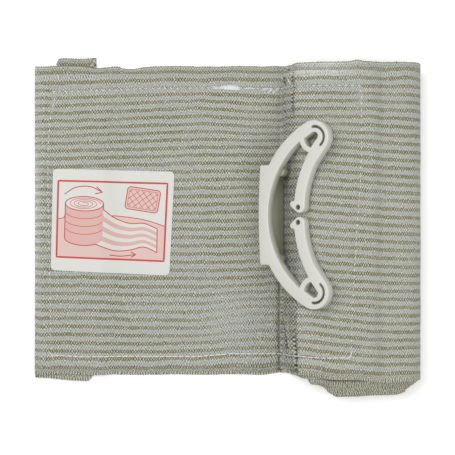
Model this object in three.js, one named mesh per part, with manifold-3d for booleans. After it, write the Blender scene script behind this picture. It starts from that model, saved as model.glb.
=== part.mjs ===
// Emergency pressure bandage, in millimetres, +Z up. It lies on a surface at z = 0.
// The wrap is one elastic strip. Its free end is turned under twice at -X. It runs flat over a dressing
// pad, climbs a step and is wound on a flattened roll at +X. A plastic pressure bar leans in the step,
// and a label is stuck on the flat part.
import * as THREE from "three";
import { mergeVertices } from "three/addons/utils/BufferGeometryUtils.js";
import Module from "manifold-3d";

const wasm = await Module();
wasm.setup();

// Driving dimensions
const GAP = 0.3; // air between two pieces, and between two layers of the wrap
const CLOTH = 1.0; // thickness of the knitted wrap
const PAD = { thickness: 3.0, left: -88, right: 65, bottom: -67.5, top: 66.5 };
const CLEAR = 2; // the wrap stays raised this far past the pad's edges
const FALL = 4; // and comes down over this width beside them
const LIFT = PAD.thickness + GAP; // how far the pad raises the wrap that lies on it
const HEM = { left: -93.5, right: -64.5, freeEnd: -83.3 }; // the free end, turned under twice
const STEP = { foot: 31.0, head: 34.9 }; // where the roll's left side starts and ends, along X
const ROLL = { right: 92.1, height: 21.7, leftBend: 6, rightBend: 9.5, sideFrom: 9, sideIn: 3.2 };
const MERGE = 75; // X where the last free part of the wrap meets the turn below it
const LABEL = { width: 58, height: 50, thickness: 0.35, corner: 1.6, x: -55.7, y: -0.3, turn: -2 };
const BAR = { x: 15.2, y: 2.7, foot: 4.7, tilt: 32 }; // where its back corner stands, and how it leans
const MOULD = { plate: 4.0, base: 15.0, baseThick: 4.8, baseHalf: 23.5, corner: 0.8, rounding: 0.3 };
const WAVES = { panel: 0.28, roll: 0.35, side: 0.7 }; // how far the soft layers swell and sway
const DENT = { x: 33, fromMiddle: 35, deep: 0.9, inward: 0.5 }; // where the bar presses the roll's shoulder
const STRIPS = 16; // strips of the soft pieces from edge to edge, over the pad

const half = CLOTH / 2;
const layer = CLOTH + GAP;
const smooth = (a, b, v) => THREE.MathUtils.smoothstep(v, a, b);
const bell = (v, middle, spread) => Math.exp(-(((v - middle) / spread) ** 2));

// The middle line of the wrap in the XZ plane as it would lie without the pad, one row for each fold
const rollTop = ROLL.height - half;
const ROUTE = [
  { place: "free end", x: HEM.freeEnd, z: half, bend: 0 },
  { place: "second turn, lower", x: HEM.right, z: half, bend: layer / 2 },
  { place: "second turn, upper", x: HEM.right, z: half + layer, bend: layer / 2 },
  { place: "first turn, lower", x: HEM.left, z: half + layer, bend: layer / 2 },
  { place: "first turn, upper", x: HEM.left, z: half + 2 * layer, bend: layer / 2 },
  { place: "clear of the pad's edge", x: PAD.left - CLEAR, z: half + 2 * layer, bend: 0 },
  { place: "left edge of the pad", x: PAD.left, z: half + 2 * layer, bend: 0 },
  { place: "end of the hem below", x: -61.5, z: half + 2 * layer, bend: 9 },
  { place: "down on the surface", x: -52.5, z: half, bend: 9 },
  { place: "foot of the step", x: STEP.foot, z: half, bend: 6 },
  { place: "shoulder of the roll", x: STEP.head, z: rollTop, bend: 2.4 },
  { place: "right edge of the pad", x: PAD.right, z: rollTop, bend: 0 },
  { place: "clear of the pad's right edge", x: PAD.right + CLEAR, z: rollTop, bend: 0 },
  { place: "end of the free part", x: MERGE, z: rollTop, bend: 0 },
  { place: "top right of the roll", x: ROLL.right - half, z: rollTop, bend: ROLL.rightBend },
  { place: "bottom right of the roll", x: ROLL.right - half, z: half, bend: ROLL.rightBend },
  { place: "bottom left of the roll", x: STEP.foot + 1.35, z: half, bend: ROLL.leftBend },
  { place: "left side of the roll", x: STEP.foot + 2.9, z: 8, bend: 0 },
];

// The wrap's two cut edges along its length, from the free end on: the skewed hem sticks out past the panel
const EDGES = [
  { at: "free end", along: 0, bottom: -71.5, top: 79.3 },
  { at: "second turn", along: 19, bottom: -72.0, top: 79.5 },
  { at: "after the turn", along: 21, bottom: -77.9, top: 73.0 },
  { at: "first turn", along: 48, bottom: -76.4, top: 73.6 },
  { at: "panel", along: 52, bottom: -75.0, top: 75.2 },
  { at: "panel's top edge dips", along: 90, bottom: -75.2, top: 74.5 },
  { at: "panel's middle", along: 110, bottom: -75.2, top: 75.2 },
  { at: "before the step", along: 160, bottom: -75.0, top: 75.3 },
  { at: "foot of the step", along: 172, bottom: -74.0, top: 75.2 },
  { at: "shoulder", along: 194, bottom: -72.8, top: 74.4 },
  { at: "roll's top", along: 210, bottom: -74.6, top: 74.3 },
  { at: "roll's right side", along: 250, bottom: -76.2, top: 74.0 },
  { at: "roll's left side", along: 340, bottom: -76.2, top: 74.0 },
];

// Inner turns of the roll slid towards -Y, more the deeper they lie
const SLID_TURNS = [
  { depth: 2.6, slid: 2.2 },
  { depth: 4.4, slid: 4.4 },
  { depth: 6.2, slid: 6.4 },
  { depth: 8.0, slid: 7.7 },
];

// A line through the rows with each corner rounded by its bend, as points with a normal to the left
function roundedRoute(rows, longest = 9, turnStep = THREE.MathUtils.degToRad(24)) {
  const points = [];
  const add = (x, z, dx, dz) => {
    const size = Math.hypot(dx, dz);
    const last = points.at(-1);
    const along = last ? last.along + Math.hypot(x - last.x, z - last.z) : 0;
    points.push({ x, z, nx: -dz / size, nz: dx / size, along });
  };
  const line = (from, to) => {
    const size = from.distanceTo(to);
    const steps = Math.max(1, Math.ceil(size / longest));
    for (let i = 0; i <= steps; i++) {
      const p = from.clone().lerp(to, i / steps);
      add(p.x, p.y, to.x - from.x, to.y - from.y);
    }
  };
  const corner = rows.map((row) => new THREE.Vector2(row.x, row.z));
  let start = corner[0];
  for (let i = 1; i < rows.length - 1; i++) {
    const into = corner[i].clone().sub(corner[i - 1]).normalize();
    const out = corner[i + 1].clone().sub(corner[i]).normalize();
    const turn = Math.atan2(into.cross(out), into.dot(out));
    const bend = rows[i].bend;
    const reach = bend * Math.tan(Math.abs(turn) / 2);
    const from = corner[i].clone().addScaledVector(into, -reach);
    const to = corner[i].clone().addScaledVector(out, reach);
    if (start.distanceTo(from) > 0.01) line(start, from);
    else if (!points.length) add(from.x, from.y, into.x, into.y);
    const side = Math.sign(turn);
    const centre = from.clone().add(new THREE.Vector2(-into.y, into.x).multiplyScalar(side * bend));
    const steps = Math.ceil(Math.abs(turn) / turnStep);
    for (let k = 1; k < steps; k++) {
      const p = from.clone().rotateAround(centre, (turn * k) / steps);
      const way = into.clone().rotateAround(new THREE.Vector2(), (turn * k) / steps);
      add(p.x, p.y, way.x, way.y);
    }
    start = to;
  }
  line(start, corner.at(-1));
  return points.filter((p, i) => i === 0 || p.along - points[i - 1].along > 0.02);
}

const route = roundedRoute(ROUTE);
const topOfRoll = (p) => p.x > STEP.foot && p.z > rollTop / 2;
const firstOnPanel = route.findIndex((p) => p.z > half + 1.9 * layer);
const merge = route.findIndex((p) => topOfRoll(p) && p.x > MERGE - 0.01);

// How much of the pad's lift a point of the free wrap gets, first along the strip, then across it
function liftAlong(p, index) {
  if (index < firstOnPanel || index > merge) return 0;
  const start = smooth(HEM.left + half, PAD.left - CLEAR, p.x);
  const end = 1 - smooth(PAD.right + CLEAR, MERGE - 1, p.x);
  return start * end;
}
function liftAcross(y) {
  const top = 1 - smooth(PAD.top + CLEAR, PAD.top + CLEAR + FALL, y);
  const bottom = smooth(PAD.bottom - CLEAR - FALL, PAD.bottom - CLEAR, y);
  return top * bottom;
}

function edgesAt(along) {
  const next = EDGES.findIndex((row, i) => i > 0 && row.along >= along);
  const b = EDGES[next < 0 ? EDGES.length - 1 : next];
  const a = EDGES[EDGES.indexOf(b) - 1];
  const share = THREE.MathUtils.clamp((along - a.along) / (b.along - a.along), 0, 1);
  return { bottom: a.bottom + (b.bottom - a.bottom) * share, top: a.top + (b.top - a.top) * share };
}

// The unevenness of soft layers: long waves, and dents where the bar presses the shoulder of the roll
function settle(x, y, z) {
  const above = smooth(0.6, 4, z);
  const onRoll = smooth(22, 40, x);
  const wave = Math.sin(x / 17 + y / 29) * Math.sin(y / 23 - x / 61 + 1.3);
  const swell = Math.sin(x / 15 + 0.6) * Math.cos(y / 38 + 0.4);
  const dents = bell(y, BAR.y + DENT.fromMiddle, 8) + bell(y, BAR.y - DENT.fromMiddle, 8);
  const pressed = dents * bell(x, DENT.x, 5) * smooth(8, 20, z);
  const sway = WAVES.side * Math.sin(y / 21 + 0.9) * bell(x, STEP.foot, 9) * smooth(1, 6, z);
  const rise = above * (WAVES.panel * wave * (1 - onRoll) + WAVES.roll * swell * onRoll);
  return [x + sway + DENT.inward * pressed, y, z + rise - DENT.deep * pressed];
}

// Makes a closed mesh from rings of equal length, with its two ends filled as the flat outline gives them
function loft(rings, outline) {
  const count = rings[0].length;
  const cap = THREE.ShapeUtils.triangulateShape(outline, []);
  const index = [];
  for (let r = 0; r < rings.length - 1; r++) {
    for (let k = 0; k < count; k++) {
      const a = r * count + k;
      const b = r * count + ((k + 1) % count);
      index.push(a, a + count, b, b, a + count, b + count);
    }
  }
  const last = (rings.length - 1) * count;
  for (const [a, b, c] of cap) {
    index.push(a, b, c);
    index.push(last + a, last + c, last + b);
  }
  const geometry = new THREE.BufferGeometry();
  geometry.setAttribute("position", new THREE.Float32BufferAttribute(rings.flat(2), 3));
  geometry.setIndex(index);
  return geometry;
}

function solidOf(geometry) {
  const bare = new THREE.BufferGeometry();
  bare.setAttribute("position", geometry.getAttribute("position"));
  if (geometry.index) bare.setIndex(geometry.index);
  const merged = mergeVertices(bare, 1e-4);
  const made = new wasm.Manifold(
    new wasm.Mesh({
      numProp: 3,
      vertProperties: merged.attributes.position.array,
      triVerts: new Uint32Array(merged.index.array),
    }),
  );
  return made;
}

function geometryOf(solid) {
  const mesh = solid.getMesh();
  const geometry = new THREE.BufferGeometry();
  geometry.setAttribute("position", new THREE.BufferAttribute(mesh.vertProperties, 3));
  geometry.setIndex(new THREE.BufferAttribute(mesh.triVerts, 1));
  return geometry;
}

// Joins solids that overlap, or cuts the later ones out of the first
const joined = (first, ...others) => others.reduce((sum, next) => sum.add(next), first);
const cut = (first, ...others) => others.reduce((rest, next) => rest.subtract(next), first);

// The places along Y at which the sections of all soft pieces stand, so that they stay parallel
const strips = Array.from({ length: STRIPS + 1 }, (_, k) => {
  const [low, high] = [PAD.bottom - CLEAR, PAD.top + CLEAR];
  return low + ((high - low) * k) / STRIPS;
});

// A soft piece from the points of its section: each holds its place, its offset and its two ends along Y
function softSolid(section, between, margin) {
  const places = (p) => {
    const edge = margin.map((share) => p.bottom + (between[0] - p.bottom) * share);
    const otherEdge = margin.map((share) => p.top + (between.at(-1) - p.top) * share).reverse();
    return [...edge, ...between, ...otherEdge];
  };
  const rings = places(section[0]).map((_, k) =>
    section.map((p) => {
      const y = places(p)[k];
      const out = p.offset + LIFT * p.lift * liftAcross(y);
      return settle(p.x + p.nx * out, y, p.z + p.nz * out);
    }),
  );
  const outline = rings[0].map(([x, , z]) => new THREE.Vector2(x, z));
  return solidOf(loft(rings, outline));
}

// The wrap's section: the outer side of the whole strip, the roll's own side below the pad, the inner side
function wrapSection() {
  const point = (p, offset, lift) => ({ ...p, offset, lift, ...edgesAt(p.along) });
  const onRoll = (p, i) => i <= merge && p.x > STEP.foot && p.z > ROLL.sideFrom;
  const outer = route.map((p, i) => point(p, half, liftAlong(p, i)));
  const below = route.filter(onRoll).map((p) => point(p, -half - GAP, 0));
  const inner = route.slice(0, merge).map((p, i) => point(p, -half, liftAlong(p, i)));
  return [...outer, ...below, ...inner.reverse()].reverse();
}

// Outline of the roll's turns in the XZ plane, drawn in by a depth
function turnsOutline(depth) {
  const left = STEP.foot + ROLL.sideIn + depth;
  const right = ROLL.right - depth;
  const high = ROLL.height - layer - depth;
  const bend = Math.min(ROLL.rightBend - depth / 2, (high - depth) / 2 - 0.05);
  const shape = new THREE.Shape();
  shape.absarc(right - bend, depth + bend, bend, -Math.PI / 2, 0, false);
  shape.absarc(right - bend, high - bend, bend, 0, Math.PI / 2, false);
  shape.absarc(left + bend, high - bend, bend, Math.PI / 2, Math.PI, false);
  shape.absarc(left + bend, depth + bend, bend, Math.PI, Math.PI * 1.5, false);
  return shape;
}

// The turns deeper than a depth, as a block between two places along Y
function turnsBlock(depth, from, to) {
  const options = { depth: to - from, bevelEnabled: false, curveSegments: 4 };
  const geometry = new THREE.ExtrudeGeometry(turnsOutline(depth), options);
  geometry.rotateX(Math.PI / 2);
  geometry.translate(0, to, 0);
  return solidOf(geometry);
}

function wrapSolid() {
  const { bottom, top } = EDGES.at(-1);
  const past = 6; // how far each block runs on past the roll's edge
  const slid = SLID_TURNS.map((turns) => turnsBlock(turns.depth, bottom - turns.slid, bottom + past));
  const sunk = SLID_TURNS.map((turns) => turnsBlock(turns.depth, top - turns.slid, top + past));
  return cut(joined(softSolid(wrapSection(), strips, [0, 0.5]), ...slid), ...sunk);
}

// The pad lies on the inner side of the wrap, from its left edge over the step to the top of the roll
function padSolid() {
  const overPad = (p) => p.x > PAD.left - 0.01 && p.x < PAD.right + 0.01;
  const under = route.slice(firstOnPanel + 1, merge).filter(overPad);
  const point = (p, offset) => ({ ...p, offset, lift: 0, bottom: PAD.bottom, top: PAD.top });
  const outer = under.map((p) => point(p, PAD.thickness - half));
  const inner = under.map((p) => point(p, -half));
  return softSolid([...outer, ...inner.reverse()].reverse(), strips.slice(1, -1), [0]);
}

// Height of the flat panel's upper face
function panelTop(x, y) {
  const panel = route.slice(firstOnPanel, merge).map((p, i) => {
    const out = half + LIFT * liftAlong(p, i + firstOnPanel) * liftAcross(y);
    return { x: p.x + p.nx * out, z: p.z + p.nz * out };
  });
  const next = panel.findIndex((p) => p.x >= x);
  const [a, b] = [panel[next - 1], panel[next]];
  return a.z + ((b.z - a.z) * (x - a.x)) / (b.x - a.x);
}

// The label: rings across it, narrower at its rounded corners, laid on the panel
function labelSolid() {
  const { width, height, corner, thickness } = LABEL;
  const turn = THREE.MathUtils.degToRad(LABEL.turn);
  const rows = [0, 0.3, 1];
  const ends = rows.map((r) => r * corner);
  const middle = Array.from({ length: 7 }, (_, k) => corner + ((height - 2 * corner) * (k + 1)) / 8);
  const along = [...ends, ...middle, ...ends.map((v) => height - v).reverse()];
  const columns = 16;
  const under = 1.4 * GAP; // the label's flat strips cut across the cloth's waves
  const rings = along.map((v) => {
    const inCorner = corner - Math.min(v, height - v, corner);
    const halfWidth = width / 2 - corner + Math.sqrt(corner ** 2 - inCorner ** 2);
    const row = (raised) =>
      Array.from({ length: columns + 1 }, (_, k) => {
        const across = halfWidth * ((2 * k) / columns - 1);
        const [sin, cos] = [Math.sin(turn), Math.cos(turn)];
        const x = LABEL.x + across * cos - (v - height / 2) * sin;
        const y = LABEL.y + across * sin + (v - height / 2) * cos;
        return settle(x, y, panelTop(x, y) + raised);
      });
    return [...row(under), ...row(under + thickness).reverse()];
  });
  const outline = rings[0].map(([x, , z]) => new THREE.Vector2(x, z));
  return solidOf(loft(rings, outline));
}

// The bar in its own frame: u to the right from the back of its base, v along it, the upper face at zero.
// Its outline is listed for one half, and the other half is its mirror image.
const BOW = { u: 47.85, inner: 42.75, outer: 48.4 };
const LOOP = { u: 29.1, v: 35.75, r: 8.0, web: 7.25, window: 4.8 };
const EYE = { u: 29.7, v: 36.4, r: 1.9 };
const SLIT = { u: 29.7, v: 35.9, r: 4.9, width: 1.2, from: 100, to: -50 };
const ARM = { u: 72, v: 1.3, left: 53, right: 47.6 };
const HEAD = { u: 21.9, v: 3.7, r: 2.75 };
const BARB = { u: 18.25, v: 4.95, r: 1.25 };
const TIP_HOLE = { u: 21.1, v: 3.5, r: 1.05 };
const BEAD = { u: 5.2, v: 20.8, r: 2.5, depth: 13.4 };

// Points of an arc about a centre, from one angle to another in degrees
function arc(centre, r, from, to, steps) {
  return Array.from({ length: steps + 1 }, (_, k) => {
    const angle = THREE.MathUtils.degToRad(from + ((to - from) * k) / steps);
    return new THREE.Vector2(centre.u + r * Math.cos(angle), centre.v + r * Math.sin(angle));
  });
}
const at = (u, v) => new THREE.Vector2(u, v);
const mirrored = (points) => points.map((p) => at(p.x, -p.y)).reverse();

function baseCorner() {
  const { corner, baseHalf } = MOULD;
  return arc({ u: corner, v: baseHalf - corner }, corner, 180, 90, 2);
}

function barOutline() {
  const bow = { u: BOW.u, v: 0 };
  const side = [
    ...baseCorner(),
    ...arc({ u: 4.95, v: MOULD.baseHalf + 1 }, 1, -90, -30, 2),
    ...arc(bow, BOW.outer, 149, 119, 6),
    ...arc(LOOP, LOOP.r, 117.7, -36, 10),
    at(32.6, 27.1),
    at(30.4, 24.1),
    ...arc(ARM, ARM.right, 155, 173, 4),
    ...arc(HEAD, HEAD.r, 0, -135, 4),
    ...arc(BARB, BARB.r, 215, 85, 4),
    ...arc(ARM, ARM.left, 174.3, 148.7, 6),
    ...arc(LOOP, LOOP.web, 248, 197, 4),
    ...arc(bow, BOW.inner, 127.6, 178.5, 10),
  ];
  return [...side, ...mirrored(side)];
}

function barHoles() {
  const ring = (hole, r, steps) => arc(hole, r, 0, 360 - 360 / steps, steps - 1);
  const slitEnd = (angle) => {
    const [end] = arc(SLIT, SLIT.r, angle, angle, 1);
    return { u: end.x, v: end.y };
  };
  const { from, to, width } = SLIT;
  const slit = [
    ...arc(SLIT, SLIT.r + width / 2, from, to, 8),
    ...arc(slitEnd(to), width / 2, to - 45, to - 135, 2),
    ...arc(SLIT, SLIT.r - width / 2, to, from, 8),
    ...arc(slitEnd(from), width / 2, from - 225, from - 315, 2),
  ];
  const window = [...arc(LOOP, LOOP.window, 184, 256, 4), ...arc(EYE, EYE.r, -30, 125, 5)];
  const holes = [slit, window, ring(TIP_HOLE, TIP_HOLE.r, 8)];
  return [...holes, ...holes.map(mirrored)];
}

// Extrudes an outline downwards from one depth to another, with a small rounding on its edges
function moulded(outline, from, to, rounding) {
  const geometry = new THREE.ExtrudeGeometry(new THREE.Shape(outline), {
    depth: to - from - 2 * rounding,
    bevelEnabled: rounding > 0,
    bevelThickness: rounding,
    bevelSize: rounding,
    bevelOffset: -rounding,
    bevelSegments: 1,
  });
  geometry.translate(0, 0, rounding - to);
  return solidOf(geometry);
}

function barSolid() {
  const { baseHalf, baseThick, base, plate, corner, rounding } = MOULD;
  const overlap = 0.5; // how far the base and its beads run into the plate
  const through = barHoles().map((hole) => moulded(hole, -1, plate + 1, 0));
  const flat = cut(moulded(barOutline(), 0, plate, rounding), ...through);
  const backSide = [...baseCorner(), at(baseThick - corner, baseHalf), at(baseThick, baseHalf - corner)];
  const back = moulded([...backSide, ...mirrored(backSide)], plate - overlap, base, rounding);
  const beadRound = (v) => arc({ u: BEAD.u, v }, BEAD.r, 0, 330, 11);
  const bead = (v) => moulded(beadRound(v), plate - overlap, BEAD.depth, 2 * rounding);
  return joined(flat, back, bead(BEAD.v), bead(-BEAD.v));
}

function named(name, solid, color, roughness) {
  const material = new THREE.MeshStandardMaterial({ color, roughness, metalness: 0 });
  const mesh = new THREE.Mesh(geometryOf(solid), material);
  mesh.name = name;
  return mesh;
}

const wrap = named("wrap", wrapSolid(), "#a9aa98", 0.95);
const pad = named("pad", padSolid(), "#eeeee8", 0.95);
const label = named("label", labelSolid(), "#f2efec", 0.6);
const bar = named("pressure_bar", barSolid(), "#d8d9d0", 0.4);

// The bar stands in the step on the edge of its base plate and leans on the roll's shoulder
const tilt = THREE.MathUtils.degToRad(BAR.tilt);
const leaning = new THREE.Group();
leaning.add(bar);
leaning.rotation.y = -tilt;
leaning.position.set(BAR.x, BAR.y, BAR.foot + MOULD.base * Math.cos(tilt));

// The origin is below the middle of the whole thing, on the surface
const bandage = new THREE.Group();
bandage.add(wrap, pad, label, leaning);
const middle = new THREE.Box3().setFromObject(bandage).getCenter(new THREE.Vector3());
bandage.position.set(-middle.x, -middle.y, 0);

export default bandage;
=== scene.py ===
"""Emergency pressure bandage: an elastic striped wrap, folded at one end and rolled at the other,
with a dressing pad sewn under it, a paper label and a hooked plastic pressure bar.
Places and sizes are in millimetres on the wrap's own axes, and placed() puts them into the frame."""

import math

import bmesh
import bpy
import numpy as np
from mathutils import Matrix, Vector, noise
from mathutils.bvhtree import BVHTree


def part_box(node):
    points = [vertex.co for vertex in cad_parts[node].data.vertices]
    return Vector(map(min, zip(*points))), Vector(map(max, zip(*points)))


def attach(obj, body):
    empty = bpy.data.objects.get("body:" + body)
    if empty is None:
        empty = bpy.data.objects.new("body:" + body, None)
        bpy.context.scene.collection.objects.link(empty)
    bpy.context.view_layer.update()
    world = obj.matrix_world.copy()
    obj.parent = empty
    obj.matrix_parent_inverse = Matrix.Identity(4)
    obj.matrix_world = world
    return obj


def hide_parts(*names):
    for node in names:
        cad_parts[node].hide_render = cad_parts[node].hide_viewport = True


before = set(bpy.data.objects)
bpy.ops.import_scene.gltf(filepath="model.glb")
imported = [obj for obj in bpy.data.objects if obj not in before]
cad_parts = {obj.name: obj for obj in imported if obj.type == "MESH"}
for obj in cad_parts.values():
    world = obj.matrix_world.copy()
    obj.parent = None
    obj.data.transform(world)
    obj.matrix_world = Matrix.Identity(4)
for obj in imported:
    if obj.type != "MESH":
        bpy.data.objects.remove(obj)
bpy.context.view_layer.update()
scene = bpy.context.scene


# Camera
# It hangs 60 cm above the surface and looks straight down, with the flat part's top edge at the top.
# The wrap's own axes start at the middle of its width, on the camera's line along X.
MM = 0.001
ROLL_RIGHT = 92.1
HEM_TOP = 79.5
_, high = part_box("wrap")
ORIGIN = np.array([high.x - ROLL_RIGHT * MM, high.y - HEM_TOP * MM, 0])


def placed(points):
    """Places in mm on the wrap's own axes as places in the frame."""
    return np.asarray(points, float) * MM + ORIGIN


CAMERA = {"y": -3.2, "height": 600, "field": 222.6, "sensor": 36}
camera = bpy.data.objects.new("camera", bpy.data.cameras.new("camera"))
camera.data.sensor_width = CAMERA["sensor"]
camera.data.lens = CAMERA["sensor"] * CAMERA["height"] / CAMERA["field"]
camera.location = placed((0, CAMERA["y"], CAMERA["height"]))
scene.collection.objects.link(camera)
scene.camera = camera


# Wrap
# One strip of elastic knit, 150 mm wide and about 1.2 m long, with olive and pale stripes along it. Its free
# end is turned under twice, it lies over the pad, climbs the step and is wound inwards on a flat roll.
CLOTH = 1.0
LAYER = 1.3
HALF = CLOTH / 2
WIDTH = 150
COLUMNS = 104
COARSE = 4
PAD = {"thickness": 3.0, "left": -88, "right": 65, "bottom": -67.5, "top": 66.5}

# The pad lifts the cloth up to CLEAR past its own edges, and over the next FALL it comes down
CLEAR = 2
FALL = 4
LIFT = PAD["thickness"] + 0.3
HEM = {"left": -93.1, "right": -64.5, "free end": -83.3}
STEP = {"foot": 31.0, "head": 34.9}
ROLL = {"left": 32.35, "top": 21.2, "right": ROLL_RIGHT - HALF, "bend": 9.5, "merge": 75}
ROLL_EDGES = (-76.2, 72.8)
TURNS = {"count": 9, "pitch": 1.06, "left pitch": 1.5, "gap": 0.3, "left bend": 5, "longest step": 4.5}
SLID = {"by": 8.2, "from turn": -1.5, "to turn": 9}
KNIT_ON_ROLL = 1.16

# The wrap's middle line in the XZ plane as it would lie without the pad, with its edges along Y
# place, x, z, bend, longest step, bottom edge, top edge
ROUTE = [
    ("free end", HEM["free end"], 0.5, 0, 1, -71.5, 76.8),
    ("corner of the free end", -82.2, 0.5, 0, 2, -71.5, 79.0),
    ("beside the second turn", -68.0, 0.5, 0, 1, -72.4, 79.5),
    ("second turn, lower", HEM["right"], 0.5, 0.65, 1, -74.6, 79.5),
    ("second turn, upper", HEM["right"], 1.8, 0.65, 1, -75.0, 78.9),
    ("back from the second turn", -68.0, 1.8, 0, 2, -77.9, 74.6),
    ("first turn, lower", HEM["left"], 1.8, 0.65, 2, -76.4, 73.6),
    ("first turn, upper", HEM["left"], 3.1, 0.65, 1.4, -75.0, 75.2),
    ("over the pad's edge", -90, 3.1, 0, 1.4, -75.1, 75.1),
    ("end of the hem below", -61.5, 3.1, 9, 1.4, -75.2, 75.2),
    ("down on the surface", -52.5, 0.5, 9, 1.4, -75.2, 75.2),
    ("middle of the flat part", -34, 0.5, 0, 1.4, -75.2, 75.2),
    ("before the step", 12, 0.5, 0, 1.4, -74.9, 75.3),
    ("near the step", 20, 0.5, 0, 1.4, -74.6, 75.3),
    ("foot of the step", STEP["foot"], 0.5, 6, 0.45, -74.0, 75.2),
    ("shoulder of the roll", STEP["head"], ROLL["top"], 2.4, 0.6, -72.8, 74.4),
    ("on the roll", 50, ROLL["top"], 0, 1.4, -74.8, 74.4),
    ("end of the pad", 67, ROLL["top"], 0, 1.4, -75.6, 74.3),
    ("laid on the turns", ROLL["merge"], ROLL["top"], 0, 1.4, -76.2, 74.1),
    ("top right of the roll", ROLL["right"], ROLL["top"], ROLL["bend"], 1.4, -76.2, 74.0),
    ("bottom right of the roll", ROLL["right"], 0.5, ROLL["bend"], 1.4, -76.2, 74.0),
    ("bottom left of the roll", ROLL["left"], 0.5, 6, 4, -76.2, 74.0),
]
X, Z, BEND, LONGEST, BOTTOM, TOP = range(1, 7)
PLACES = [row[0] for row in ROUTE]
FIRST_ON_PANEL = PLACES.index("first turn, upper")
STEP_FOOT = PLACES.index("foot of the step")
MERGED = PLACES.index("laid on the turns")
OUTSIDE = PLACES.index("bottom right of the roll")

# How far the stripes have been pulled towards +Y, at seven places across, counted from the top edge
# x, stripe 2, stripe 6, stripe 12, stripe 20, stripe 26, stripe 32, stripe 37
PULLED = [
    (-93, -0.5, 0.0, 1.1, 2.0, 1.7, 1.0, 0.7),
    (-80, -1.0, -0.1, 1.1, 2.1, 1.7, 1.1, 0.7),
    (-64, -0.3, 0.5, 1.6, 2.3, 1.7, 1.1, 0.4),
    (-50, 0.4, 1.2, 2.0, 2.2, 1.1, 0.2, 0.2),
    (-32, 1.0, 2.0, 2.4, 1.8, 1.2, 0.0, 0.2),
    (-13, 0.9, 2.7, 3.0, 1.8, 0.9, -0.1, 0.6),
    (2, 1.2, 1.6, 3.0, 2.0, 0.9, 1.8, 1.6),
    (12, 0.9, 0.7, 2.7, 2.3, 1.3, 2.7, 1.8),
    (26, 0.7, 0.3, 2.8, 2.6, 1.5, 2.2, 1.4),
    (34, 0.0, 0.8, 2.6, 2.2, 1.4, 1.8, 1.2),
    (48, 0.4, 1.1, 2.6, 1.9, 1.1, 1.9, 1.4),
    (67, 0.3, 1.3, 1.4, 1.1, 0.7, 0.7, 0.6),
    (86, 1.0, 1.0, 0.5, 0.4, 0.3, 0.6, 0.7),
    (93, 0.6, 0.7, 0.4, 0.2, 0.2, 0.4, 0.4),
]
PULLED_AT = (2, 6, 12, 20, 26, 32, 37)
STRIPES = 39

# How far the very edges of the free part stray from that, towards +Y
# x, rise
TOP_EDGE = [
    (-70, 0), (-63, -0.9), (-55, -0.25), (-52.8, -0.3), (-51.2, -1.1), (-46, -1.2), (-41.5, -0.1),
    (-36, 0.25), (-28, 0), (-12, 0.3), (0, -0.15), (15, 0.25), (27, -0.1), (31, 0.1), (34, -0.1),
    (37, -0.2), (40, 0), (45, 0.5), (50, 0.75), (58.4, 0.6), (59.8, 1.15), (62.4, 1.15), (63.8, 0.65),
    (75, 0.8), (85, 0.5), (93, 1.2),
]
BOTTOM_EDGE = [
    (-66, 0.6), (-58, 0.5), (-53, 0.05), (-45, 0.3), (-39, 0.4), (-32, 0.1), (-18, 0.2), (-13, 0.4),
    (-7, 0.2), (0, 0), (86, 0), (90, 0.3), (91.5, 0.9), (92.6, 2.2),
]

# The seam that holds the pad, as the line of its stitches
# x, y
SEAM = [
    (-84.2, 62.6), (-70, 62.6), (-60, 63.2), (-39, 64.4), (-11, 64.6), (1, 65.0), (8, 64.4), (28, 64.2),
    (34, 63.4), (47, 63.6), (62, 63.6), (62.8, 58.4), (63.0, 41), (62.4, 17), (61.1, 1), (59.7, -22),
    (58.6, -45), (58.1, -64.2), (46, -64.6), (33, -63.8), (28, -64.6), (1, -64.6), (-15, -66.0),
    (-42, -65.8), (-72, -65.8), (-85.3, -64.8), (-86.0, -28), (-86.9, 10), (-87.0, 32), (-86.6, 40),
    (-85.7, 50), (-83.8, 59), (-84.2, 62.6),
]

# dark is shade painted along the crease; below 0 it clears painted shade from a ridge
# Creases and ridges at the step, each along Y, placed by their way along the cloth from the step's foot
# place, lean, from y, to y, rise, spread, dark
CREASES = [
    (-10.0, 0.00, -80, -24, 0.0, 10.0, 0.38),
    (-5.0, 0.00, -74, -26, -0.9, 1.4, 1.25),
    (-2.2, 0.02, -74, -26, 0.8, 1.2, 0.0),
    (6.5, -0.63, -62, -47, -0.7, 1.9, 1.9),
    (11.4, -0.63, -63, -46, 0.5, 2.0, -0.9),
    (18.9, 0.00, -75, -52, -1.0, 0.5, 1.8),
    (8.0, -0.40, 65, 73, -0.7, 2.2, 1.7),
    (-4.4, 0.03, 20, 74, -0.4, 1.4, 0.2),
    (10.0, 0.02, 26, 60, -0.6, 1.6, 0.2),
    (18.5, 0.00, 50, 71, -0.5, 0.6, 1.5),
]

# Patches where the olive yarn shows less
# x, y, wide, high, share
FADED = [
    (3, -48, 22, 14, 0.62),
    (-30, -42, 14, 10, 0.25),
    (35, -22, 6, 10, 0.4),
]

# Where the bar's loops press the roll, along Y
DENTS = (37.7, -32.3)


def smooth(low, high, value):
    """0 below low, 1 above high and a soft change between them."""
    share = np.clip((value - low) / (high - low), 0, 1)
    return share * share * (3 - 2 * share)


def stretch(value, start, full, last, end):
    """1 from full to last, 0 before the start and past the end, and soft changes between them."""
    return smooth(start, full, value) * (1 - smooth(last, end, value))


def bell(value, middle, spread):
    """1 at the middle, falling softly to 0 on both sides."""
    return np.exp(-(((value - middle) / spread) ** 2))


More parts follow.
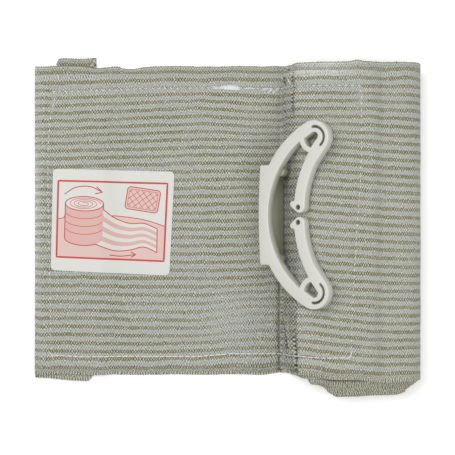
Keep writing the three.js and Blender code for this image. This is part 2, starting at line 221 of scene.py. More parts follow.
def inner_turns():
    """The rows of the roll's inner turns, each a little smaller than the turn round it."""
    rows = []
    for turn in range(1, TURNS["count"] + 1):
        deep = turn * TURNS["pitch"]
        top = ROLL["top"] - LAYER - deep + TURNS["pitch"]
        bottom = HALF + deep
        left = ROLL["left"] + turn * TURNS["left pitch"]
        right = ROLL["right"] - TURNS["gap"] - deep
        round_end = (top - bottom) / 2 - 0.02
        bend = min(ROLL["bend"] - turn / 2, round_end)
        left_bend = min(TURNS["left bend"], round_end)
        slid = SLID["by"] * smooth(SLID["from turn"], SLID["to turn"], turn)
        rest = (TURNS["longest step"], ROLL_EDGES[0] - slid, ROLL_EDGES[1] - slid)
        rows.append(("left", left + 2.2, top, left_bend, *rest))
        rows.append(("right", right, top, bend, *rest))
        rows.append(("lower right", right, bottom, bend, *rest))
        if turn < TURNS["count"]:
            rows.append(("lower left", left, bottom, left_bend, *rest))
    rows.append(("inner end", ROLL["left"] + 26, bottom, 0, *rest))
    return rows


def rounded_route(rows):
    """Points of a line through the rows, with each corner rounded by its bend.
    Each is x, z, its normal to the left of the way, the length so far and the row as a number."""
    points = []

    def add(place, way, row):
        so_far = 0
        if points:
            step = math.dist(place, points[-1][:2])
            so_far = points[-1][4] + step
            if step < 0.02:
                return
        points.append((*place, -way[1], way[0], so_far, row))

    corner = [np.array((row[X], row[Z])) for row in rows]
    start = corner[0]
    for i in range(1, len(rows)):
        into = (corner[i] - corner[i - 1]) / math.dist(corner[i], corner[i - 1])
        bend = rows[i][BEND] if i < len(rows) - 1 else 0
        turn = 0
        if bend:
            out = (corner[i + 1] - corner[i]) / math.dist(corner[i + 1], corner[i])
            turn = math.atan2(into[0] * out[1] - into[1] * out[0], float(into @ out))
        reach = bend * math.tan(abs(turn) / 2)
        end = corner[i] - into * reach
        steps = max(1, math.ceil(math.dist(end, start) / rows[i][LONGEST]))
        for k in range(steps + 1):
            add(start + (end - start) * k / steps, into, i - 1 + k / steps)
        start = corner[i]
        if bend:
            side = math.copysign(1, turn)
            centre = end + side * bend * np.array((-into[1], into[0]))
            finest = 5 if rows[i][LONGEST] < 1 else 9 if rows[i][LONGEST] < 3 else 18
            bend_steps = math.ceil(abs(turn) / math.radians(finest))
            for k in range(1, bend_steps):
                cos, sin = math.cos(turn * k / bend_steps), math.sin(turn * k / bend_steps)
                turned = np.array(((cos, -sin), (sin, cos)))
                add(centre + turned @ (end - centre), turned @ into, i)
            start = corner[i] + out * reach
    return np.array(points)


ROWS = ROUTE + inner_turns()
route = rounded_route(ROWS)
route_x, route_z, normal_x, normal_z, along, at_row = route.T
FOOT_AT = along[np.argmin(np.hypot(route_x - STEP["foot"], route_z - HALF))]


def on_show(row):
    """1 on the part of the cloth that shows, from the first fold to the roll's underside."""
    return stretch(row, FIRST_ON_PANEL - 0.5, FIRST_ON_PANEL, OUTSIDE - 0.5, OUTSIDE)


def pressed_thin(length):
    """The pad's thickness as a share: the wrap drawn over the shoulder of the roll presses it."""
    return 1 - 0.45 * bell(length, FOOT_AT + 19.5, 5)


def lift_at(x, y, row, length):
    """How far the pad raises the wrap that lies on it."""
    over = (row >= FIRST_ON_PANEL - 0.01) & (row <= MERGED)
    lift_x = stretch(x, HEM["left"] + HALF, PAD["left"] - CLEAR, 67, ROLL["merge"] - 1)
    low, high = PAD["bottom"] - CLEAR, PAD["top"] + CLEAR
    return LIFT * pressed_thin(length) * over * lift_x * stretch(y, low - FALL, low, high, high + FALL)


def settle(x, y, z):
    """The unevenness of all soft layers: long waves, and dents where the bar presses the roll."""
    above = smooth(0.6, 4, z)
    on_roll = smooth(22, 40, x)
    wave = np.sin(x / 17 + y / 29) * np.sin(y / 23 - x / 61 + 1.3)
    swell = np.sin(x / 15 + 0.6) * np.cos(y / 38 + 0.4)
    pressed = sum(bell(y, dent, 8) for dent in DENTS) * bell(x, 33, 5) * smooth(8, 20, z)
    sway = (0.7 * np.sin(y / 21 + 0.9) - 1.3 * smooth(20, 62, y)) * bell(x, STEP["foot"], 9) * smooth(1, 6, z)
    rise = above * (0.28 * wave * (1 - on_roll) + 0.35 * swell * on_roll)
    return x + sway + 0.5 * pressed, y, z + rise - 0.9 * pressed


def from_seam(x, y):
    """Distance from the pad's seam."""
    nearest = np.full(np.shape(x), 1e9)
    for (x0, y0), (x1, y1) in zip(SEAM, SEAM[1:]):
        size = (x1 - x0) ** 2 + (y1 - y0) ** 2
        share = np.clip(((x - x0) * (x1 - x0) + (y - y0) * (y1 - y0)) / size, 0, 1)
        nearest = np.minimum(nearest, np.hypot(x - x0 - share * (x1 - x0), y - y0 - share * (y1 - y0)))
    return nearest


def stripe_shift(x, across, row):
    """How far a place on the free part of the cloth has been pulled along Y."""
    stripe = (WIDTH / 2 - across) / WIDTH * STRIPES
    stations, *columns = zip(*PULLED)
    places = (0, *PULLED_AT, STRIPES)
    levels = [0 * x, *(np.interp(x, stations, column) for column in columns), 0 * x]
    shift = 0 * x
    for k in range(len(places) - 1):
        inside = (stripe >= places[k]) & (stripe <= places[k + 1])
        share = smooth(places[k], places[k + 1], stripe)
        shift = np.where(inside, levels[k] * (1 - share) + levels[k + 1] * share, shift)
    return shift * stretch(row, FIRST_ON_PANEL - 1, FIRST_ON_PANEL, OUTSIDE - 1, OUTSIDE)


def crease_at(length, y, start, end, place, lean, spread):
    """1 in the middle of a crease and 0 beside it and past its ends."""
    middle = FOOT_AT + place + lean * (y - (start + end) / 2)
    return bell(length, middle, spread) * stretch(y, start - 5, start + 3, end - 3, end + 5)


def fine_relief(x, y, row, length):
    """Height of the cloth's small forms: the sewn groove, creases at the step and puckers at the hem."""
    seam = from_seam(x, y)
    puffed = 0.35 * (1 - np.exp(-seam / 5)) - 0.75 * np.exp(-((seam / 1.5) ** 2))
    ridge = 0 * x
    for place, lean, start, end, rise, spread, _ in CREASES:
        ridge = ridge + rise * crease_at(length, y, start, end, place, lean, spread)
    pucker = 0.3 * np.sin((x + 88) * 2.1) * bell(x, -88.5, 3.5) * (0.6 + 0.4 * np.sin(y / 4.1))
    pucker = pucker * bell(y, 8, 34) * (row < STEP_FOOT)
    return on_show(row) * (puffed + ridge + pucker)


def crumple(x, y, row):
    """Fine random unevenness of handled cloth."""
    value = [
        0.16 * noise.noise((u / 11, v / 7, 3.7)) + 0.07 * noise.noise((u / 3.6, v / 2.6, 9.1))
        for u, v in zip(x.ravel(), y.ravel())
    ]
    return np.array(value).reshape(x.shape) * on_show(row)


def on_wrap(stations, across):
    """Places of the wrap's middle surface, one row for each station and one column for each place across."""
    x, z, nx, nz, length, row = (values[:, None] for values in route[stations].T)
    bottom = np.interp(row, np.arange(len(ROWS)), [values[BOTTOM] for values in ROWS])
    top = np.interp(row, np.arange(len(ROWS)), [values[TOP] for values in ROWS])
    across = across[None, :] + 0 * x
    x, row = x + 0 * across, row + 0 * across
    y = bottom + (top - bottom) * (across / WIDTH + 0.5) + stripe_shift(x, across, row)

    # The inner turns have slid less at both ends of the roll
    inner = smooth(OUTSIDE + 0.1, OUTSIDE + 0.9, row)
    near_end = 1 - smooth(38.5, 40.1, x)
    held_back = 0.33 * near_end + 0.67 * (1 - smooth(44.5, 52, x))
    y = y + inner * ((ROLL_EDGES[0] - bottom) * held_back + 1.6 * near_end)
    y = y + inner * 1.1 * stretch(x, 60, 72, 85, 90)

    # The very edges wander
    y = y + 0.25 * np.sin(length / 5.3 + row) * smooth(60, 75, abs(across))
    free = stretch(row, FIRST_ON_PANEL - 0.5, FIRST_ON_PANEL, OUTSIDE - 1, OUTSIDE - 0.6)
    for edge, outwards in ((TOP_EDGE, across), (BOTTOM_EDGE, -across)):
        y = y + free * np.interp(x, *zip(*edge)) * smooth(71, 75, outwards)
    out = lift_at(x, y, row, length) + fine_relief(x, y, row, length) + crumple(x, y, row)
    out = np.where((z < 1.5) & (nz > 0.5), np.maximum(out, 0), out)
    return np.stack(settle(x + nx * out, y, z + nz * out), axis=-1)


def grid_faces(count, wide, first=0, turned=False):
    """The faces of a grid of points, row after row, from the first point's number."""
    faces = []
    for i in range(count - 1):
        for a in range(first + i * wide, first + i * wide + wide - 1):
            face = (a, a + 1, a + wide + 1, a + wide)
            faces.append((a, *face[:0:-1]) if turned else face)
    return faces


def knitted_lengths(fine, coarse, middle):
    """Length of knit up to each station. It is drawn out on the step's slope and less so on the roll."""
    forward, upward = np.diff(middle[:, 0]), np.diff(middle[:, 2])
    past_foot = along[fine][1:] - FOOT_AT
    drawn_out = np.where(abs(past_foot - 9) < 12, 7, 1)
    looser = np.where(past_foot > 19, KNIT_ON_ROLL, 1)
    shown = np.concatenate([[0], np.cumsum(np.hypot(forward, upward / drawn_out) * looser)])
    return shown, shown[-1] + KNIT_ON_ROLL * (along[coarse] - along[fine[-1]])


def marks_on(x, y, row, length):
    """Where the olive is faded, the cloth is paler, and it is drawn together so that its gaps close up; this
    last mask also paints shade.
    """
    faded = 0.75 * np.exp(-((from_seam(x, y) / 1.3) ** 2)) * smooth(50, 58, y)
    for spot_x, spot_y, spot_wide, spot_high, share in FADED:
        faded = np.maximum(faded, share * bell(x, spot_x, spot_wide) * bell(y, spot_y, spot_high))
    # Paler along the left fold, partly worn and partly painted light over the fold's shade, and near the
    # roll's top edge
    paler_at_fold = bell(x, -93.4, 4.5) * (0.4 + 0.6 * bell(y, 6, 34)) * smooth(-74, -60, y)
    paler = paler_at_fold + bell(x, 46, 15) * smooth(64, 71, y)
    # Painted shade on the step's slope, where the knit is also drawn together
    slope_end = np.interp(y, (-20, 20), (19.9, 18.6))
    slope = stretch(length - FOOT_AT, 0, 7, slope_end - 0.3, slope_end + 0.2)
    gathered_and_shade = slope * np.interp(y, (-30, -8, 30, 50), (0.95, 0.4, 0.35, 0.4))
    # Painted shade along each crease, cleared on the ridges whose dark is below 0
    for place, lean, start, end, _, spread, dark in CREASES:
        crease = crease_at(length, y, start, end, place, lean, spread * 1.2)
        gathered_and_shade = np.maximum(gathered_and_shade, dark * crease) * (1 - max(-dark, 0) * crease)
    # Painted shade in the grooves of the hem's puckers
    puckers = bell(x, -88.6, 2.0) * bell(y, 5, 40) * (0.7 + 0.3 * np.sin(y * 1.3))
    gathered_and_shade = np.maximum(gathered_and_shade, 0.5 * puckers) * on_show(row)
    # Painted shadow on the first inner turn, just under the outer turn's lower edge
    first_inside = abs(row - (OUTSIDE + 2.5)) < 0.55
    gathered_and_shade = np.maximum(gathered_and_shade, first_inside * stretch(x, 42, 48, 64, 72))
    return {"faded": faded * on_show(row), "paler": paler * on_show(row), "gathered_and_shade": gathered_and_shade}


def strip_mesh(across):
    """The wrap's middle surface: fine where it shows, coarse inside the roll. Its UV map is in mm of knit."""
    fine = np.flatnonzero(at_row <= OUTSIDE + 0.6)
    coarse = np.arange(len(fine), len(route))
    few = across[::COARSE]
    fine_points, coarse_points = on_wrap(fine, across), on_wrap(coarse, few)
    points = np.concatenate([fine_points.reshape(-1, 3), coarse_points.reshape(-1, 3)])
    middle = fine_points[:, abs(across) < 40].mean(axis=1)
    flat = np.concatenate([
        np.stack(np.meshgrid(lengths, places, indexing="ij"), -1).reshape(-1, 2)
        for lengths, places in zip(knitted_lengths(fine, coarse, middle), (across, few))
    ])
    wide, narrow = len(across), len(few)
    last, first = (len(fine) - 1) * wide, len(fine) * wide
    faces = grid_faces(len(fine), wide)
    for k in range(narrow - 1):
        faces.append((*range(last + k * COARSE, last + (k + 1) * COARSE + 1), first + k + 1, first + k))
    faces += grid_faces(len(coarse), narrow, first)
    mesh = bpy.data.meshes.new("wrap_cloth")
    mesh.from_pydata(placed(points).tolist(), [], faces)
    corners = np.zeros(len(mesh.loops), int)
    mesh.loops.foreach_get("vertex_index", corners)
    mesh.uv_layers.new(name="cloth").data.foreach_set("uv", flat[corners].ravel())
    row, length = (
        np.concatenate([np.repeat(values[fine], wide), np.repeat(values[coarse], narrow)])
        for values in (at_row, along)
    )
    for mark, values in marks_on(points[:, 0], points[:, 1], row, length).items():
        mesh.attributes.new(mark, "FLOAT", "POINT").data.foreach_set("value", values)
    mesh.shade_smooth()
    return mesh


def object_of(name, mesh):
    """An object with this mesh, in the scene."""
    piece = bpy.data.objects.new(name, mesh)
    scene.collection.objects.link(piece)
    return piece


def applied(piece):
    """Makes what the piece's modifiers show its own plain mesh."""
    seen = piece.evaluated_get(bpy.context.evaluated_depsgraph_get())
    mesh = bpy.data.meshes.new_from_object(seen)
    mesh.name = piece.name
    piece.modifiers.clear()
    piece.data = mesh
    return piece


def thickened(piece, thick, sharp):
    """Gives a sheet its thickness in mm, half to each side. Edges over an angle in degrees stay sharp."""
    modifier = piece.modifiers.new("thickness", "SOLIDIFY")
    modifier.thickness = thick * MM
    modifier.offset = 0
    applied(piece)
    piece.data.set_sharp_from_angle(angle=math.radians(sharp))


def linear(red, green, blue):
    """A colour as it looks in the lamps' light, 0 to 255, as the shader takes it."""
    return tuple(0.86 * ((v / 255 + 0.055) / 1.055) ** 2.4 for v in (red, green, blue)) + (1,)


class Value:
    """What one node gives to the next. Adding, subtracting and multiplying it make Math nodes."""

    def __init__(self, socket):
        self.socket = socket
        self.tree = socket.id_data

    def then(self, operation, other=0.0):
        """What a Math node with this operation makes of it."""
        return value_of(self.tree, "ShaderNodeMath", {0: self, 1: other}, operation=operation)

    def __add__(self, other):
        return self.then("ADD", other)

    def __sub__(self, other):
        return self.then("SUBTRACT", other)

    def __mul__(self, other):
        return self.then("MULTIPLY", other)

    def __rsub__(self, other):
        return self * -1.0 + other


def feed(socket, value):
    """Links a value to the socket, or sets a plain one on it."""
    if isinstance(value, Value):
        value.tree.links.new(value.socket, socket)
    else:
        socket.default_value = value


def node_of(tree, kind, sockets, **settings):
    """A node with its settings, fed by name or number."""
    node = tree.nodes.new(kind)
    for name, value in settings.items():
        setattr(node, name, value)
    for name, value in sockets.items():
        feed(node.inputs[name], value)
    return node


def value_of(tree, kind, sockets, output=0, **settings):
    """One output of a new node."""
    return Value(node_of(tree, kind, sockets, **settings).outputs[output])


def between(value, low, high):
    """0 below low and 1 above high, or the other way round, with a soft change."""
    falls = int(low > high)
    limits = {"From Min": min(low, high), "From Max": max(low, high), "To Min": falls, "To Max": 1 - falls}
    sockets = {"Value": value, **limits}
    return value_of(value.tree, "ShaderNodeMapRange", sockets, interpolation_type="SMOOTHSTEP")


def mixed(share, first, second):
    """The first colour where the share is 0 and the second where it is 1."""
    tree = next(value.tree for value in (share, first) if isinstance(value, Value))
    return value_of(tree, "ShaderNodeMix", {0: share, 6: first, 7: second}, 2, data_type="RGBA")


def bell_of(value, middle, spread):
    """1 at the middle and falling softly to 0 past the spread on both sides."""
    return between((value - middle).then("ABSOLUTE"), spread * 1.8, spread * 0.2)


def mottle(vector, scale, detail=2.0):
    """Soft noise about 0.5."""
    sockets = {"Vector": vector, "Scale": scale, "Detail": detail}
    return value_of(vector.tree, "ShaderNodeTexNoise", sockets, "Fac")


def parts_of(vector):
    """The X, Y and Z of a vector."""
    node = node_of(vector.tree, "ShaderNodeSeparateXYZ", {0: vector})
    return [Value(socket) for socket in node.outputs]


def knit_group():
    """Stripes of the knit from flat places in mm. Each stripe has four rows of stitches, each half a stitch
    on from the one beside it. An olive stripe's middle is a chain of cream loops with dark gaps round it."""
    tree = bpy.data.node_groups.new("knit", "ShaderNodeTree")
    inputs = [
        ("Cloth", "Vector", (0, 0, 0)),
        ("Faded", "Float", 0.0),
        ("Paler", "Float", 0.0),
        ("Gathered_and_shade", "Float", 0.0),
        ("Olive", "Color", linear(134, 130, 97)),
        ("Olive gap", "Color", linear(60, 57, 34)),
        ("Olive loop", "Color", linear(230, 226, 196)),
        ("Pale", "Color", linear(184, 187, 180)),
        ("Pale gap", "Color", linear(108, 111, 102)),
        ("Pale loop", "Color", linear(230, 233, 228)),
        ("Pitch", "Float", WIDTH / STRIPES),
        ("Stitch", "Float", 1.28),
    ]
    for label, kind, value in inputs:
        socket = tree.interface.new_socket(label, in_out="INPUT", socket_type="NodeSocket" + kind)
        socket.default_value = value
    for label, kind in (("Colour", "Color"), ("Height", "Float")):
        tree.interface.new_socket(label, in_out="OUTPUT", socket_type="NodeSocket" + kind)
    given = [Value(socket) for socket in tree.nodes.new("NodeGroupInput").outputs[:len(inputs)]]
    cloth, faded, paler, gathered_and_shade = given[:4]
    olive, olive_gap, olive_loop, pale, pale_gap, pale_loop, pitch, stitch = given[4:]

    def swing(scale, reach, detail=2.0):
        return (mottle(cloth, scale, detail) - 0.5) * reach

    def patches(scale, least, most, detail=2.0):
        return between(mottle(cloth, scale, detail), least, most)

    # Which stripe a place belongs to, and how far it is from the stripe's middle
    length, across, _ = parts_of(cloth)
    uppermost = between(across, 69.4, 70.6)
    shifted = across - uppermost * 0.8 + WIDTH / 2 + (swing(0.14, 1.3) + swing(0.9, 0.9))
    counted = shifted.then("DIVIDE", pitch) + 0.5
    stripe = counted.then("FLOOR")
    share = counted - stripe - 0.5
    distance = share.then("ABSOLUTE") * pitch - uppermost * 0.1

    # The stitches: loops where the wave is high, gaps where it is low, each a little different
    own = value_of(tree, "ShaderNodeTexWhiteNoise", {"W": stripe}, "Value", noise_dimensions="1D")
    phase = length.then("DIVIDE", stitch) + own + swing(0.5, 1.2)
    wave_along = (phase * (2 * math.pi)).then("COSINE")
    wave_across = (share * (4 * math.pi)).then("COSINE")
    wave = wave_along * wave_across * 0.85 + swing(1.3, 1.3, 1.0)
    cell_at = {0: (phase * 2.0).then("FLOOR"), 1: (counted * 4.0).then("FLOOR")}
    cell = value_of(tree, "ShaderNodeCombineXYZ", cell_at)
    each = value_of(tree, "ShaderNodeTexWhiteNoise", {"Vector": cell}, "Value", noise_dimensions="2D")
    clear = (each * 0.45 + 0.55) * (patches(0.22, 0.3, 0.66) * 0.58 + 0.48)
    loops = between(wave, 0.05, 0.6) * clear
    gaps = between(wave, -0.05, -0.6) * clear

    # How strong the olive is: it fades in patches, at the pad's seam and where the cloth is paler
    strength = patches(0.06, 0.36, 0.6) * 0.18 + patches(0.3, 0.3, 0.62) * 0.14 + 0.66
    strength = strength.then("MAXIMUM", uppermost * 0.8)
    strength = strength * (1.0 - faded.then("MAXIMUM", paler * 0.38))
    in_olive = between(distance, 1.07, 0.57) * strength
    # Paler cloth lightens the pale rows; at the left fold that is partly painted light
    pale = mixed(paler * 0.85, pale, pale_loop)
    colour = mixed(gaps, mixed(in_olive, pale, olive), mixed(in_olive, pale_gap, olive_gap))
    colour = mixed(loops, colour, mixed(in_olive, pale_loop, olive_loop))

    # Where the cloth is drawn together its gaps close up and only their dark shows; the same mask paints
    # shade, solid where it passes 1
    dropped_in = between(wave, 0.3, -0.3) * patches(0.35, 0.2, 0.6, 1.0)
    folded = (gathered_and_shade - 1.0).then("MAXIMUM", 0.0)
    closed = (gathered_and_shade * (dropped_in * 0.8 + 0.1) + folded).then("MINIMUM", 1.0)
    colour = mixed(closed, colour, olive_gap)

    # The edges: upright ticks along the lower one, with painted shade inside it where the mask paints shade,
    # and a single weak row of olive inside the upper one, with olive again on its rim
    ticks = between(wave_along * 0.6 + swing(1.7, 3.2, 1.0), -0.7, 0.7)
    tick_loop = mixed(0.84, olive, mixed(0.6, olive_loop, pale_loop))
    tick_colour = mixed(ticks, mixed(0.62, olive, olive_gap), tick_loop)
    colour = mixed(between(across, -72.0, -72.5) * 0.8, colour, tick_colour)
    in_shade = bell_of(across, -73.2, 0.75) * gathered_and_shade.then("MINIMUM", 1.0)
    colour = mixed(in_shade * 0.75, colour, olive_gap)
    colour = mixed(bell_of(across, 73.5, 0.35) * 0.35, colour, olive)
    colour = mixed(between(across, 74.4, 74.8) * 0.7, colour, olive)
    height = (1.0 - in_olive) * 0.35 + wave * 0.5
    node_of(tree, "NodeGroupOutput", {"Colour": colour, "Height": height})
    return tree


def material_of(name, settings):
    """A material, with the sockets of its shader that are uniform, and that shader."""
    material = bpy.data.materials.new(name)
    material.use_nodes = True
    shader = material.node_tree.nodes["Principled BSDF"]
    for label, value in settings.items():
        feed(shader.inputs[label], value)
    return material, shader


def object_place(shader):
    """The place on the object, in metres."""
    return value_of(shader.id_data, "ShaderNodeTexCoord", {}, "Object")


def bumped(shader, height, strength, distance):
    """Raises the surface by the height, as its light shows it."""
    sockets = {"Height": height, "Strength": strength, "Distance": distance}
    feed(shader.inputs["Normal"], value_of(shader.id_data, "ShaderNodeBump", sockets))


def painted(shader, mark):
    """The value that the mesh keeps at each point under this name."""
    return value_of(shader.id_data, "ShaderNodeAttribute", {}, "Fac", attribute_name=mark)


knit_cloth, shader = material_of("knit_cloth", {
    "Roughness": 0.92,
    "Sheen Weight": 0.15,
    "Sheen Roughness": 0.6,
    "Specular IOR Level": 0.2,
})
marks = {mark: painted(shader, mark.lower()) for mark in ("Faded", "Paler", "Gathered_and_shade")}
flat_place = value_of(shader.id_data, "ShaderNodeUVMap", {}, uv_map="cloth")
stripes = node_of(shader.id_data, "ShaderNodeGroup", {"Cloth": flat_place, **marks}, node_tree=knit_group())
feed(shader.inputs["Base Color"], Value(stripes.outputs["Colour"]))
bumped(shader, Value(stripes.outputs["Height"]), 0.8, 0.0003)
columns = np.linspace(-WIDTH / 2, WIDTH / 2, COLUMNS + 1)
wrap = object_of("wrap_cloth", strip_mesh(columns))
wrap.data.materials.append(knit_cloth)
thickened(wrap, CLOTH, 60)
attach(wrap, "root")
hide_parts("wrap")


# Dressing pad
# A quilted pad of white soft fibre, 3 mm thick, that lies under the wrap and is sewn to it all round. It goes
# over the hem, along the surface and up on the roll, and its upper face follows the wrap.
PAD_STEP = 2.6
PAD_GAP = 0.6


def outwards_faced(mesh, merge=0.0):
    """Merges points closer than this and turns the mesh's faces outwards."""
    solid = bmesh.new()
    solid.from_mesh(mesh)
    if merge:
        bmesh.ops.remove_doubles(solid, verts=solid.verts, dist=merge)
    bmesh.ops.recalc_face_normals(solid, faces=solid.faces)
    solid.to_mesh(mesh)
    solid.free()


def pad_mesh():
    """A closed mesh of two faces, the lower one smooth and the upper one with the wrap's relief."""
    under_wrap = (at_row >= FIRST_ON_PANEL) & (at_row <= MERGED)
    on_pad = np.flatnonzero(under_wrap & (route_x > PAD["left"]) & (route_x < PAD["right"]))[::2]
    across = np.linspace(PAD["bottom"], PAD["top"], int((PAD["top"] - PAD["bottom"]) / PAD_STEP))
    x, z, nx, nz, length, row = (values[:, None] + 0 * across for values in route[on_pad].T)
    y = across + 0 * x
    lowest = np.full(x.shape, 0.2)
    for beside in (-2.2, -1.1, 0, 1.1, 2.2):
        lowest = np.minimum(lowest, fine_relief(x + beside, y, row, length + beside))
        lowest = np.minimum(lowest, fine_relief(x, y + beside, row, length))
    raised = LIFT * pressed_thin(length) - HALF - PAD_GAP + lowest
    points = [np.stack(settle(x + nx * out, y, z + nz * out), axis=-1) for out in (-HALF, raised)]
    count, wide = x.shape
    half = count * wide
    faces = grid_faces(count, wide) + grid_faces(count, wide, half, turned=True)
    rim = [*range(0, half - wide, wide), *range(half - wide, half - 1)]
    rim += [*range(half - 1, wide - 1, -wide), *range(wide - 1, 0, -1)]
    faces += [(a, b, half + b, half + a) for a, b in zip(rim, rim[1:] + rim[:1])]
    mesh = bpy.data.meshes.new("dressing_pad")
    mesh.from_pydata(placed(np.reshape(points, (-1, 3))).tolist(), [], faces)
    outwards_faced(mesh)
    mesh.shade_smooth()
    mesh.set_sharp_from_angle(angle=math.radians(50))
    return mesh


pad = object_of("dressing_pad", pad_mesh())
fibre, shader = material_of("fibre", {"Roughness": 0.95})
fuzz = mottle(object_place(shader), 900.0, 3.0)
feed(shader.inputs["Base Color"], mixed(fuzz, linear(226, 226, 220), linear(244, 243, 238)))
bumped(shader, fuzz, 0.5, 0.0003)
pad.data.materials.append(fibre)
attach(pad, "root")
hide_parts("pad")


# Seam round the pad
# White cotton thread in running stitches 2 to 3 mm long, which holds the pad under the wrap.
# Its way is read off the wrap's own upper face, and the stitches are set along it by Geometry Nodes.
STITCH = {"pitch": 3.0, "long": 2.1, "long below": 3.2, "thick": 0.46, "sunk": 0.02, "sunk above": 0.4}

# Along the lower side of the seam, below this y, the stitches are longer and less sunk
LOWER_SEAM = -62
wrap_surface = BVHTree.FromObject(wrap, bpy.context.evaluated_depsgraph_get())


def dropped(x, y):
    """Where a plumb line at x, y meets the wrap, in mm."""
    spot = wrap_surface.ray_cast(Vector(placed((x, y, 80))), Vector((0, 0, -1)))[0]
    return (np.array(spot) - ORIGIN) / MM


def path_mesh(name, paths):
    """Lines through points as a mesh of edges."""
    points, edges = [], []
    for path in paths:
        edges += [(k, k + 1) for k in range(len(points), len(points) + len(path) - 1)]
        points += placed(path).tolist()
    mesh = bpy.data.meshes.new(name)
    mesh.from_pydata(points, edges, [])
    return mesh


def points_along(given):
    """Points at an even pitch on the given lines, and the turn that lays X along the line at each."""
    tree = given["Geometry"].tree
    line = value_of(tree, "GeometryNodeMeshToCurve", {0: given["Geometry"]})
    spaced = value_of(tree, "GeometryNodeResampleCurve", {0: line, "Length": given["Pitch"]}, mode="LENGTH")
    tangent = value_of(tree, "GeometryNodeInputTangent", {})
    return spaced, value_of(tree, "FunctionNodeAlignRotationToVector", {"Vector": tangent}, axis="X")


def uneven(given, least, most):
    """A number between two limits, drawn for each point."""
    sockets = {2: least, 3: most, "Seed": given["Seed"]}
    return value_of(given["Seed"].tree, "FunctionNodeRandomValue", sockets, 1, data_type="FLOAT")


def set_on(points, shape, rotation, scale):
    """The shape, turned and scaled, at each of the points."""
    sockets = {"Points": points, "Instance": shape, "Rotation": rotation, "Scale": scale}
    return value_of(points.tree, "GeometryNodeInstanceOnPoints", sockets)


def run_maker(piece, maker, values):
    """Runs a Geometry Nodes tree with these inputs on the piece and keeps what it makes as a plain mesh.
    The maker adds the nodes of its own, and what they make becomes real, smooth and of the thread."""
    tree = bpy.data.node_groups.new(piece.name, "GeometryNodeTree")
    kinds = {"Geometry": "Geometry", "Seed": "Int", "Thread": "Material"}
    for label in ("Geometry", *values):
        kind = kinds.get(label, "Float")
        tree.interface.new_socket(label, in_out="INPUT", socket_type="NodeSocket" + kind)
    tree.interface.new_socket("Geometry", in_out="OUTPUT", socket_type="NodeSocketGeometry")
    given = {socket.name: Value(socket) for socket in tree.nodes.new("NodeGroupInput").outputs}
    real = value_of(tree, "GeometryNodeRealizeInstances", {0: maker(tree, given)})
    even = value_of(tree, "GeometryNodeSetShadeSmooth", {0: real})
    finished = value_of(tree, "GeometryNodeSetMaterial", {0: even, "Material": given["Thread"]})
    node_of(tree, "NodeGroupOutput", {0: finished})
    modifier = piece.modifiers.new("maker", "NODES")
    modifier.node_group = tree
    for item in tree.interface.items_tree:
        if item.in_out == "INPUT" and item.name in values:
            modifier[item.identifier] = values[item.name]
    applied(piece)


def sewn(tree, given):
    """One long oval for each stitch, lying along the line."""
    points, facing = points_along(given)
    oval = value_of(tree, "GeometryNodeMeshUVSphere", {"Segments": 10, "Rings": 6, "Radius": 0.5})
    length = value_of(tree, "GeometryNodeInputNamedAttribute", {"Name": "long"}, data_type="FLOAT")
    sides = {0: length * uneven(given, 0.7, 1.1), 1: given["Thickness"], 2: given["Thickness"]}
    return set_on(points, oval, facing, value_of(tree, "ShaderNodeCombineXYZ", sides))


seam_way = []
for (x0, y0), (x1, y1) in zip(SEAM, SEAM[1:]):
    steps = max(1, round(math.hypot(x1 - x0, y1 - y0)))
    for k in range(steps):
        spot = dropped(x0 + (x1 - x0) * k / steps, y0 + (y1 - y0) * k / steps)
        sunk = STITCH["sunk above" if spot[1] > LOWER_SEAM else "sunk"]
        seam_way.append(spot + (0, 0, STITCH["thick"] / 2 - sunk))
thread, _ = material_of("thread", {"Roughness": 0.7, "Base Color": linear(252, 252, 248)})
stitches = object_of("pad_stitches", path_mesh("pad_stitches", [seam_way]))
long = [STITCH["long below" if y < LOWER_SEAM else "long"] * MM for _, y, _ in seam_way]
stitches.data.attributes.new("long", "FLOAT", "POINT").data.foreach_set("value", long)
run_maker(stitches, sewn, {
    "Pitch": STITCH["pitch"] * MM,
    "Thickness": STITCH["thick"] * MM,
    "Seed": 4,
    "Thread": thread,
})
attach(stitches, "root")


# Worn spot
# Where the knit has worn thin over the seam, loose white fibres of the pad lie across it, and a few strands
# run beside it. They are single threads, each a thin bent tube.
FRAYED = {"seed": 11, "radius": 0.085, "steep": 20}

# x from, x to, y, spread across, how many, lean in degrees
WORN = [
    (-8.5, -1.0, 64.9, 0.5, 12, 4),
    (-3.4, 7.2, 64.8, 1.1, 60, 6),
    (6.5, 14.5, 64.3, 0.3, 6, 3),
    (13.5, 23.5, 63.9, 0.3, 4, 3),
    (16.6, 19.6, 63.9, 0.2, 4, 38),
    (18.8, 22.1, 63.0, 0.2, 6, 41),
    (21.4, 25.6, 63.3, 0.15, 9, 44),
    (28.0, 30.2, 66.2, 0.6, 5, -62),
]


def tubes(tree, given):
    """A thin tube round each line."""
    line = value_of(tree, "GeometryNodeMeshToCurve", {0: given["Geometry"]})
    ring = value_of(tree, "GeometryNodeCurvePrimitiveCircle", {"Resolution": 5, "Radius": given["Radius"]})
    sockets = {"Curve": line, "Profile Curve": ring, "Fill Caps": True}
    return value_of(tree, "GeometryNodeCurveToMesh", sockets)


